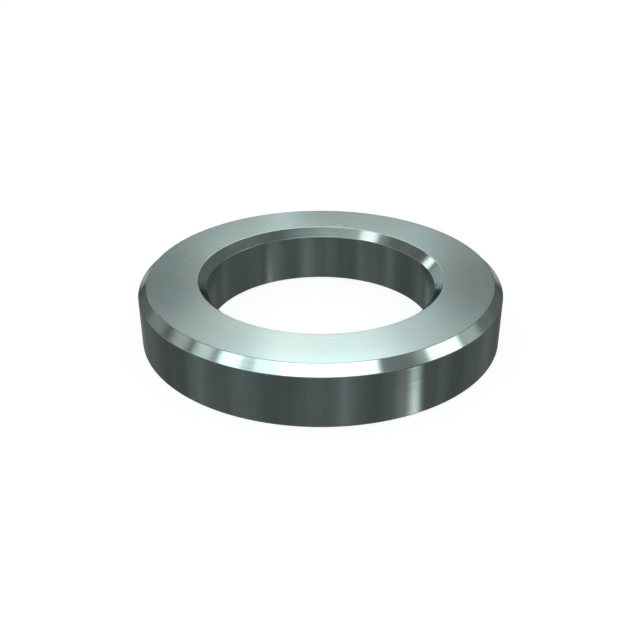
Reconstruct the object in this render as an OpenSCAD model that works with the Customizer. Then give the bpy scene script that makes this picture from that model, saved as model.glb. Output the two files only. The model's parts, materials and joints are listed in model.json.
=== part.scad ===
// Round washer with a chamfered upper face, for an M16 screw.
// One turned steel ring. The Z axis runs through the hole, and the lower face lies at Z = 0.

/* [Ring] */
// Diameter of the hole
bore_d = 17; // [14:0.5:20]
// Diameter over the outside
outside_d = 27; // [24:0.5:36]
// Height from the lower face to the upper face
thickness = 4.4; // [3:0.1:8]

/* [Edges] */
// Leg of the 45 degree chamfer on the upper outer edge
outer_chamfer = 0.65; // [0.3:0.05:0.9]
// Leg of the 45 degree chamfer on the upper edge of the hole
bore_chamfer = 0.65; // [0.3:0.05:0.9]
// Radius left on every edge by tumbling
edge_radius = 0.1; // [0.04:0.01:0.15]

/* [Hidden] */
$fn = 180;

bore_r = bore_d / 2;
outside_r = outside_d / 2;

// Sharp corners of the ring's cross-section, as [radius, height], anticlockwise from the lower edge of the hole
corners = [
    [bore_r, 0],
    [outside_r, 0],
    [outside_r, thickness - outer_chamfer],
    [outside_r - outer_chamfer, thickness],
    [bore_r + bore_chamfer, thickness],
    [bore_r, thickness - bore_chamfer]
];
corner_count = len(corners);

// Directions from a corner towards the corners before and after it
function direction(v) = v / norm(v);
function back(i) = direction(corners[(i + corner_count - 1) % corner_count] - corners[i]);
function ahead(i) = direction(corners[(i + 1) % corner_count] - corners[i]);

// Where the edge radius of a corner starts, ends and has its centre
function half_angle(i) = acos(back(i) * ahead(i)) / 2;
function tangent_length(i) = edge_radius / tan(half_angle(i));
function arc_start(i) = corners[i] + tangent_length(i) * back(i);
function arc_end(i) = corners[i] + tangent_length(i) * ahead(i);
function arc_centre(i) = corners[i] + edge_radius / sin(half_angle(i)) * direction(back(i) + ahead(i));

// The cross-section: its straight sides, and a round at each corner
module cross_section() {
    polygon([for (i = [0 : corner_count - 1]) each [arc_start(i), arc_end(i)]]);
    for (i = [0 : corner_count - 1])
        translate(arc_centre(i)) circle(r = edge_radius);
}

module washer() {
    color("#98a6a3")
        rotate_extrude() cross_section();
}

washer();
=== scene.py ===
"""Looks of a chamfered round washer: a turned steel ring on a white studio floor.

Every length is in metres, in the frame of the CAD part: the Z axis runs through the hole, the floor
lies at Z = 0 and the camera looks along +Y. A bearing is counted from the camera's side of the
washer, in degrees, to the right where it is positive.
"""

import json
import math

import bpy
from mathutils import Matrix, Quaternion, Vector


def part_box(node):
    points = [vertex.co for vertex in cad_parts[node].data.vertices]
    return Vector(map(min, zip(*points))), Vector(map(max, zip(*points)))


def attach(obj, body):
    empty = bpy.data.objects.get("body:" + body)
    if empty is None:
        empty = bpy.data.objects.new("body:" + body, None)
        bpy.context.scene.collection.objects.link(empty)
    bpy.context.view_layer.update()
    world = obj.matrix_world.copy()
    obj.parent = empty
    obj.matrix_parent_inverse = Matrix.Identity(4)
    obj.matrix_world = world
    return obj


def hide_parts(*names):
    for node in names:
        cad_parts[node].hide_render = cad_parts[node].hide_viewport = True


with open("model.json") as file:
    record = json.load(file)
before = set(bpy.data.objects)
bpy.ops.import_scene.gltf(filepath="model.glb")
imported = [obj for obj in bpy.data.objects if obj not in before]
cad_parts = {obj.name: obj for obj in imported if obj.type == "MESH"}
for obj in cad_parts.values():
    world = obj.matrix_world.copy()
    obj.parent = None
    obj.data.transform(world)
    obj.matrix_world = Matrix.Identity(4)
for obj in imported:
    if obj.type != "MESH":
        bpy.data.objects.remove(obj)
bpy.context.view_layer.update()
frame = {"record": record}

MM = 0.001

# Sizes of the ring. The frame gives all but the chamfer and the edge radius, which repeat the CAD source.
bore_mount = next(m for m in frame["record"]["mounts"] if m["name"] == "bore")
ring_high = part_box("washer")[1]
BORE_R = bore_mount["dims"]["r_mm"] * MM
OUTSIDE_R = ring_high.x
THICKNESS = ring_high.z
CHAMFER = 0.65 * MM
EDGE_R = 0.1 * MM

# How finely the ring is turned: steps round the axis, and round each edge
TURN_STEPS = 384
EDGE_STEPS = 6
UV_MAP = "OFBake"

# Steel: its two tints, and its roughness on each kind of face
STEEL_COOL = (0.415, 0.555, 0.54)
STEEL_WARM = (0.445, 0.545, 0.52)
FACE_ROUGHNESS = 0.27
WALL_ROUGHNESS = 0.26
CHAMFER_ROUGHNESS = 0.15
EDGE_ROUGHNESS = 0.32

# How strongly the turning marks stretch a highlight, and the quarter turn that stretches it across them
LAY_STRENGTH = 0.65
LAY_TURN = 0.25

# The kinds of face: where each fades in, by the upright part of its normal.
# For the chamfer, that is how far the upright part is from that of a 45 degree slope.
FLAT_SLOPE = (0.93, 0.99)
WALL_SLOPE = (0.2, 0.08)
CHAMFER_UPRIGHT = math.sqrt(0.5)
CHAMFER_SLOPE = (0.08, 0.03)

# Marks on the steel: how wide, how long and how deep they are
MARK_WIDTH, MARK_LENGTH, MARK_DEPTH = 0.28 * MM, 120 * MM, 0.0045 * MM
BAND_WIDTH, BAND_LENGTH = 0.7 * MM, 30 * MM
# Painted reflection: upright lighter and darker streak bands in the colour of the walls, in place of
# mirrored light
REFLECTION_STREAK_WIDTH, REFLECTION_STREAK_LENGTH = 1.2 * MM, 20 * MM
SCRATCH_WIDTH, SCRATCH_LENGTH, SCRATCH_DEPTH = 0.09 * MM, 3 * MM, 0.001 * MM
SCRATCH_TURNS = (38, -64)
SCRATCH_PEAKS = (0.79, 0.84)
PATCH_SIZE = 5 * MM
PATCH_SEED = 5.0
PATCH_RANGE = (0.35, 0.65)

# How much the marks change the lightness and the roughness of the steel; the streak tone is a painted
# reflection on the walls
MARK_TONE, BAND_TONE, REFLECTION_STREAK_TONE, SCRATCH_TONE = 0.07, 0.08, 0.6, 0.1
PATCH_ROUGHNESS, SCRATCH_ROUGHNESS = 0.04, 0.06

# Camera: where it aims, how far away it stands, its height above the horizon in degrees, and its lens
AIM = Vector((-0.045 * MM, 0, 0.453 * MM))
CAMERA_DISTANCE = 66.72 * MM
CAMERA_ELEVATION = 28.556
CAMERA_LENS = 48.74
SENSOR_WIDTH = 36
CLIP_START, CLIP_END = 1 * MM, 10

# Floor and world: what they return of the light, and what is added where they are seen directly
FLOOR_SIDE = 4.0
FLOOR_GREY = (0.35, 0.35, 0.35, 1)
FLOOR_LIFT = 0.855
WORLD_FILL = 0.48
WORLD_SEEN = 1.0
WHITE = (1, 1, 1, 1)

# Tent
SURROUND_R = 0.45
SURROUND_SEGMENTS, SURROUND_RINGS = 64, 32
HORIZON_BLUR = 0.02
DOME_LIGHT = 0.17
GROUND_LIGHT = 0.1

# Cards: how far they stand from the washer, over what share of a card its edges fade, how bright one
# has to be to be sampled as a lamp, and the height and the length of the tubes, in degrees
CARD_DISTANCE = 0.3
NEAR_DISTANCE = 0.05
CARD_FEATHER = 0.12
TUBE_FEATHER = 0.4
SAMPLED_LIGHT = 5.0
TUBE_ELEVATION = -28
TUBE_TALL = 56


def direction(bearing, elevation):
    """Unit vector from the washer towards a bearing and an elevation, both in degrees."""
    b, e = math.radians(bearing), math.radians(elevation)
    return Vector((math.sin(b) * math.cos(e), -math.cos(b) * math.cos(e), math.sin(e)))


# Ring
def cross_section():
    """Points (radius, height) round the cross-section, and their outward normals.

    Each corner is rounded by an arc, and the arcs' ends are the ends of the straight sides.
    """
    corners = [
        Vector((BORE_R, 0)),
        Vector((OUTSIDE_R, 0)),
        Vector((OUTSIDE_R, THICKNESS - CHAMFER)),
        Vector((OUTSIDE_R - CHAMFER, THICKNESS)),
        Vector((BORE_R + CHAMFER, THICKNESS)),
        Vector((BORE_R, THICKNESS - CHAMFER)),
    ]
    points, normals = [], []
    for i, corner in enumerate(corners):
        back = (corners[i - 1] - corner).normalized()
        ahead = (corners[(i + 1) % len(corners)] - corner).normalized()
        half_angle = math.acos(back.dot(ahead)) / 2
        centre = corner + (back + ahead).normalized() * EDGE_R / math.sin(half_angle)
        # The arc turns from the normal of the side before the corner to that of the side after it
        first = math.atan2(back.x, -back.y)
        turn = math.pi - 2 * half_angle
        for step in range(EDGE_STEPS + 1):
            angle = first + turn * step / EDGE_STEPS
            normal = Vector((math.cos(angle), math.sin(angle)))
            points.append(centre + normal * EDGE_R)
            normals.append(normal)
    return points, normals


def turned_ring():
    """The washer: the cross-section turned round the Z axis, with true normals and an unrolled UV map."""
    points, section_normals = cross_section()
    count = len(points)
    along = [0.0]
    for i in range(count):
        along.append(along[-1] + (points[(i + 1) % count] - points[i]).length)
    vertices, normals, faces, uvs = [], [], [], []
    for j in range(TURN_STEPS):
        angle = 2 * math.pi * j / TURN_STEPS
        c, s = math.cos(angle), math.sin(angle)
        vertices += [(p.x * c, p.x * s, p.y) for p in points]
        normals += [(m.x * c, m.x * s, m.y) for m in section_normals]
    for j in range(TURN_STEPS):
        here, there = j * count, (j + 1) % TURN_STEPS * count
        left, right = j / TURN_STEPS, (j + 1) / TURN_STEPS
        for i in range(count):
            k = (i + 1) % count
            low, high = along[i] / along[-1], along[i + 1] / along[-1]
            faces.append((here + i, there + i, there + k, here + k))
            uvs += [(left, low), (right, low), (right, high), (left, high)]
    mesh = bpy.data.meshes.new("washer_ring")
    mesh.from_pydata(vertices, [], faces)
    unrolled = mesh.uv_layers.new(name=UV_MAP)
    for loop, uv in zip(unrolled.data, uvs):
        loop.uv = uv
    mesh.shade_smooth()
    mesh.normals_split_custom_set_from_vertices(normals)
    ring = bpy.data.objects.new("washer_ring", mesh)
    bpy.context.scene.collection.objects.link(ring)
    return ring


# Steel
class Nodes:
    """Adds nodes to one node tree. An input is given by its name, as a value or as another node's output."""

    def __init__(self, tree):
        self.tree = tree
        self.tree.nodes.clear()

    def add(self, kind, inputs=(), **settings):
        node = self.tree.nodes.new(kind)
        for name, value in settings.items():
            setattr(node, name, value)
        for name, value in dict(inputs).items():
            if isinstance(value, bpy.types.NodeSocket):
                self.tree.links.new(value, node.inputs[name])
            else:
                node.inputs[name].default_value = value
        return node

    def math(self, operation, a, b=0.0, c=0.0, clamp=False):
        node = self.add("ShaderNodeMath", {0: a, 1: b, 2: c}, operation=operation, use_clamp=clamp)
        return node.outputs[0]

    def weighted(self, start, *parts):
        """start, plus each part's value times its weight."""
        total = start
        for value, weight in parts:
            total = self.math("MULTIPLY_ADD", value, weight, total)
        return total

    def ramp(self, value, low, high, to_low=0.0, to_high=1.0, smooth=True):
        """to_low where value is low, to_high where it is high, and a ramp between them."""
        kind = "SMOOTHSTEP" if smooth else "LINEAR"
        inputs = {"Value": value, "From Min": low, "From Max": high, "To Min": to_low, "To Max": to_high}
        return self.add("ShaderNodeMapRange", inputs, interpolation_type=kind).outputs["Result"]

    def split(self, vector):
        return self.add("ShaderNodeSeparateXYZ", {0: vector}).outputs

    def place(self, *coordinates):
        """Vector of three coordinates, each counted in units of its own size."""
        units = [self.math("DIVIDE", value, size) for value, size in coordinates]
        return self.add("ShaderNodeCombineXYZ", dict(zip("XYZ", units))).outputs[0]

    def noise(self, place, w=0.0, detail=2.0):
        """Noise from 0 to 1 whose features are about one unit of place in size."""
        inputs = {"Vector": place, "W": w, "Scale": 1.0, "Detail": detail}
        return self.add("ShaderNodeTexNoise", inputs, noise_dimensions="4D").outputs["Fac"]


def new_material(name):
    material = bpy.data.materials.new(name)
    material.use_nodes = True
    return material, Nodes(material.node_tree)


def turned_steel():
    """Satin steel: turning marks round every face, a painted reflection in upright streak bands on the walls
    and a few scratches.
    """
    material, n = new_material("turned_steel")
    surface = n.add("ShaderNodeTexCoord").outputs
    x, y, z = n.split(surface["Object"])
    radius = n.math("SQRT", n.math("MULTIPLY_ADD", x, x, n.math("MULTIPLY", y, y)))
    upright = n.math("ABSOLUTE", n.split(surface["Normal"])["Z"])

    # The kinds of face, told apart by their slope. What is none of them is a rounded edge.
    flat = n.ramp(upright, *FLAT_SLOPE)
    wall = n.ramp(upright, *WALL_SLOPE)
    off_chamfer = n.math("ABSOLUTE", n.math("SUBTRACT", upright, CHAMFER_UPRIGHT))
    chamfer = n.ramp(off_chamfer, *CHAMFER_SLOPE)
    edge = n.math("MAXIMUM", n.weighted(1.0, (flat, -1.0), (wall, -1.0), (chamfer, -1.0)), 0.0)

    def centred(noise):
        return n.math("SUBTRACT", noise, 0.5)

    def lay(width, length):
        """Marks that run round the axis."""
        return n.noise(n.place((radius, width), (z, width), (x, length)), n.math("DIVIDE", y, length))

    def hairs(turn):
        """Scratches along one direction: the peaks of a noise that is drawn out along it."""
        inputs = {"Vector": surface["Object"], "Angle": math.radians(turn)}
        turned = n.add("ShaderNodeVectorRotate", inputs, rotation_type="Z_AXIS").outputs[0]
        along, over, up = n.split(turned)
        drawn = n.place((along, SCRATCH_LENGTH), (over, SCRATCH_WIDTH), (up, SCRATCH_WIDTH))
        return n.ramp(n.noise(drawn, turn, detail=0.0), *SCRATCH_PEAKS)

    marks = lay(MARK_WIDTH, MARK_LENGTH)
    bands = lay(BAND_WIDTH, BAND_LENGTH)
    # Painted reflection: lighter and darker upright streak bands in the walls' colour
    reflection_streak_place = n.place((x, REFLECTION_STREAK_WIDTH), (y, REFLECTION_STREAK_WIDTH), (z, REFLECTION_STREAK_LENGTH))
    painted_reflection_streaks = n.math("MULTIPLY", centred(n.noise(reflection_streak_place, detail=1.0)), wall)
    patches = n.noise(n.place((x, PATCH_SIZE), (y, PATCH_SIZE), (z, PATCH_SIZE)), PATCH_SEED)
    scratches = n.math("MULTIPLY", n.math("MAXIMUM", *(hairs(turn) for turn in SCRATCH_TURNS)), flat)

    # Colour: the two tints in patches, lighter and darker along the marks, with a painted reflection in
    # upright streak bands on the walls
    tone = n.weighted(1.0, (centred(marks), MARK_TONE), (centred(bands), BAND_TONE),
                      (painted_reflection_streaks, REFLECTION_STREAK_TONE), (scratches, SCRATCH_TONE))
    tints = {"Factor": n.ramp(patches, *PATCH_RANGE), "A": (*STEEL_COOL, 1), "B": (*STEEL_WARM, 1)}
    tint = n.add("ShaderNodeMix", tints, data_type="RGBA").outputs["Result"]
    colour = n.add("ShaderNodeVectorMath", {0: tint, "Scale": tone}, operation="SCALE").outputs[0]

    # Roughness: by the kind of face, uneven in patches and rougher in the scratches
    roughness = n.weighted(
        CHAMFER_ROUGHNESS,
        (flat, FACE_ROUGHNESS - CHAMFER_ROUGHNESS),
        (wall, WALL_ROUGHNESS - CHAMFER_ROUGHNESS),
        (edge, EDGE_ROUGHNESS - CHAMFER_ROUGHNESS),
        (centred(patches), PATCH_ROUGHNESS),
        (scratches, SCRATCH_ROUGHNESS),
    )

    height = n.weighted(0.0, (marks, MARK_DEPTH), (scratches, -SCRATCH_DEPTH))
    shader = n.add("ShaderNodeBsdfPrincipled", {
        "Base Color": colour,
        "Metallic": 1.0,
        "Roughness": roughness,
        "Normal": n.add("ShaderNodeBump", {"Height": height, "Distance": 1.0}).outputs[0],
        "Anisotropic": LAY_STRENGTH,
        "Anisotropic Rotation": LAY_TURN,
        "Tangent": n.add("ShaderNodeTangent", direction_type="RADIAL", axis="Z").outputs[0],
    })
    n.add("ShaderNodeOutputMaterial", {"Surface": shader.outputs[0]})
    return material


# Studio
def panel(name, centre, facing, width, height, tilt=0):
    """A flat rectangle round centre that faces a point, with its right end raised by tilt degrees."""
    turn = (centre - facing).to_track_quat("Z", "Y") @ Quaternion((0, 0, 1), math.radians(tilt))
    ends = ((0, 0), (1, 0), (1, 1), (0, 1))
    corners = [centre + turn @ Vector(((u - 0.5) * width, (v - 0.5) * height, 0)) for u, v in ends]
    mesh = bpy.data.meshes.new(name)
    mesh.from_pydata(corners, [], [(0, 1, 2, 3)])
    uv_map = mesh.uv_layers.new(name="panel")
    for loop, end in zip(uv_map.data, ends):
        loop.uv = end
    obj = bpy.data.objects.new(name, mesh)
    bpy.context.scene.collection.objects.link(obj)
    return obj


def only_in_metal(obj):
    """Leaves a stage object to be seen in the metal alone."""
    obj.visible_camera = False
    obj.visible_diffuse = False
    obj.visible_transmission = False
    obj.visible_shadow = False


def softbox(name, bearing, elevation, wide, tall, light,
            distance=CARD_DISTANCE, feather=CARD_FEATHER, tilt=0):
    """A glowing card that fills wide by tall degrees, and adds its light to what lies behind it."""
    width, height = (2 * distance * math.tan(math.radians(angle / 2)) for angle in (wide, tall))
    card = panel(name, direction(bearing, elevation) * distance, Vector(), width, height, tilt)
    material, n = new_material(name)
    across, up, _ = n.split(n.add("ShaderNodeTexCoord").outputs["UV"])
    strength = light
    for side in (across, up):
        from_edge = n.math("PINGPONG", side, 0.5)
        strength = n.math("MULTIPLY", n.ramp(from_edge, 0.0, feather), strength)
    lamp = n.add("ShaderNodeEmission", {"Strength": strength})
    clear = n.add("ShaderNodeBsdfTransparent")
    both = n.add("ShaderNodeAddShader", {0: lamp.outputs[0], 1: clear.outputs[0]})
    n.add("ShaderNodeOutputMaterial", {"Surface": both.outputs[0]})
    if light < SAMPLED_LIGHT:
        material.cycles.emission_sampling = "NONE"
    card.data.materials.append(material)
    only_in_metal(card)


def seen_directly(n):
    """1 for a ray from the camera, off metal or through glass, and 0 for one that lights a dull surface."""
    path = n.add("ShaderNodeLightPath").outputs
    seen = n.math("ADD", path["Is Camera Ray"], path["Is Glossy Ray"])
    return n.math("ADD", seen, path["Is Transmission Ray"], clamp=True)


def white_world():
    world = bpy.data.worlds.new("studio")
    bpy.context.scene.world = world
    world.use_nodes = True
    n = Nodes(world.node_tree)
    strength = n.ramp(seen_directly(n), 0, 1, WORLD_FILL, WORLD_SEEN, smooth=False)
    background = n.add("ShaderNodeBackground", {"Color": WHITE, "Strength": strength})
    n.add("ShaderNodeOutputWorld", {"Surface": background.outputs[0]})


def floor():
    """The white floor, with the washer's shadow.

    In the photo the steel mirrors something dark below it, so the floor is left out of reflections.
    """
    material, n = new_material("white_floor")
    lit = n.add("ShaderNodeBsdfDiffuse", {"Color": FLOOR_GREY})
    lift = n.add("ShaderNodeEmission", {"Strength": n.math("MULTIPLY", seen_directly(n), FLOOR_LIFT)})
    both = n.add("ShaderNodeAddShader", {0: lit.outputs[0], 1: lift.outputs[0]})
    n.add("ShaderNodeOutputMaterial", {"Surface": both.outputs[0]})
    obj = panel("floor", Vector((0, 0, 0)), Vector((0, 0, -1)), FLOOR_SIDE, FLOOR_SIDE)
    obj.data.materials.append(material)
    obj.visible_glossy = False


def surround():
    """The dim tent that the metal mirrors in place of the white world, darker below the horizon."""
    bpy.ops.mesh.primitive_uv_sphere_add(
        segments=SURROUND_SEGMENTS, ring_count=SURROUND_RINGS, radius=SURROUND_R)
    obj = bpy.context.object
    obj.name = "surround"
    material, n = new_material("surround")
    height = n.split(n.add("ShaderNodeTexCoord").outputs["Object"])["Z"]
    light = n.ramp(height, -HORIZON_BLUR, HORIZON_BLUR, GROUND_LIGHT, DOME_LIGHT)
    shader = n.add("ShaderNodeEmission", {"Strength": light})
    n.add("ShaderNodeOutputMaterial", {"Surface": shader.outputs[0]})
    material.cycles.emission_sampling = "NONE"
    obj.data.materials.append(material)
    only_in_metal(obj)


# Cards. The numbers are the bearing, the elevation, the width, the height and the light of each.
def chamfer_cards():
    """What the chamfers mirror, from the front round to the back."""
    softbox("front_softbox", 7.4, 56.3, 44.8, 12.6, 3.0, feather=0.05)
    softbox("front_left_softbox", -39.5, 54, 15, 14, 2.05)
    softbox("front_top_fill", -30, 67, 40, 10, 0.32)
    softbox("left_gap_fill", -56, 50.5, 8, 14, 1.15)
    softbox("left_strip", -66.1, 45.5, 10.1, 14, 2.5)
    softbox("left_top_strip", -71, 57, 14, 12, 2.0)
    softbox("left_top_fill", -86, 52, 12, 10, 0.22, feather=0.3)
    softbox("left_fill", -82.5, 39, 12, 10, 1.05)
    softbox("left_low_fill", -98.5, 31, 15, 9, 0.55)
    softbox("left_side_fill", -117.5, 19, 20, 12, 0.2)
    softbox("left_back_spot", -135.5, 22.5, 12, 10, 2.3, feather=0.2)
    softbox("left_back_fill", -153, 8.5, 30, 10, 0.36, tilt=42)
    softbox("front_right_fill", 57, 49, 18, 12, 0.13)
    softbox("right_gap_fill", 73.5, 44.5, 13, 12, 0.55, feather=0.4)
    softbox("right_softbox", 87.1, 36.8, 22.8, 9, 2.9, feather=0.16, tilt=-35)
    softbox("right_fill", 105, 26.5, 16, 10, 0.6)
    softbox("right_side_fill", 119, 18, 16, 12, 0.07)
    softbox("left_horizon", -153.5, -10.5, 20, 12, 0.29)
    softbox("right_horizon", 154, -11, 16, 12, 0.28)


def face_cards():
    """What the upper face mirrors: near cards that light its front more than its back, and far ones."""
    softbox("near_softbox", 178.5, 55, 27, 14, 3.2, distance=NEAR_DISTANCE)
    softbox("near_top_fill", 179, 70, 50, 14, 1.3, distance=NEAR_DISTANCE)
    softbox("near_low_fill", 180, 36, 36, 26, 0.37, distance=NEAR_DISTANCE)
    softbox("near_left_fill", -164.5, 28, 10, 12, 0.12, distance=NEAR_DISTANCE)
    softbox("near_right_fill", 164.5, 28, 10, 12, 0.12, distance=NEAR_DISTANCE)
    softbox("back_softbox", 180, 37, 36, 10, 1.6)
    softbox("back_left_strip", -176.7, 22, 2.4, 14, 1.15)
    softbox("back_right_strip", 173.5, 22, 7, 14, 0.14)
    # These light it for a camera at the back or at a side
    softbox("front_low_fill", 0, 20, 90, 24, 0.6)
    softbox("left_low_softbox", -90, 8, 44, 14, 0.6)
    softbox("right_low_softbox", 90, 8, 44, 14, 0.6)


def edge_cards():
    """What the rounded edges mirror between the faces."""
    softbox("top_softbox", 0, 91, 24, 24, 2.0)
    softbox("left_edge_fill", -131, 50, 24, 16, 0.5)
    softbox("right_edge_fill", 131, 50, 24, 16, 0.5)


def wall_tubes():
    """What the walls mirror: upright tubes, given by bearing, width and light, and one short bright lamp."""
    tubes = {
        "tube_left_far": (-150, 14, 0.2),
        "tube_left_back": (-129, 14, 0.1),
        "tube_left": (-80, 13, 0.16),
        "tube_left_gap": (-64, 18, 0.06),
        "tube_left_front": (-46, 16, 0.12),
        "tube_middle": (-6, 40, 0.045),
        "tube_front": (15, 15, 0.19),
        "tube_right_side": (76, 18, 0.06),
        "tube_right_gap": (106, 24, 0.02),
        "tube_right_back": (124, 12, 0.13),
        "tube_right_far": (153, 14, 0.08),
    }
    for name, (bearing, wide, light) in tubes.items():
        softbox(name, bearing, TUBE_ELEVATION, wide, TUBE_TALL, light, feather=TUBE_FEATHER)
    softbox("lamp_right_glow", 54, -38, 14, 18, 0.75, feather=TUBE_FEATHER)
    softbox("lamp_right", 60, -35.5, 5, 12, 8.0, feather=0.25)


def camera():
    data = bpy.data.cameras.new("camera")
    data.sensor_width = SENSOR_WIDTH
    data.lens = CAMERA_LENS
    data.clip_start = CLIP_START
    data.clip_end = CLIP_END
    obj = bpy.data.objects.new("camera", data)
    obj.location = AIM + direction(0, CAMERA_ELEVATION) * CAMERA_DISTANCE
    obj.rotation_euler = (math.radians(90 - CAMERA_ELEVATION), 0, 0)
    bpy.context.scene.collection.objects.link(obj)
    bpy.context.scene.camera = obj


ring = turned_ring()
ring.data.materials.append(turned_steel())
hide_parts("washer")
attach(ring, "root")

white_world()
floor()
surround()
chamfer_cards()
face_cards()
edge_cards()
wall_tubes()
camera()
bpy.context.scene.view_settings.view_transform = "Standard"
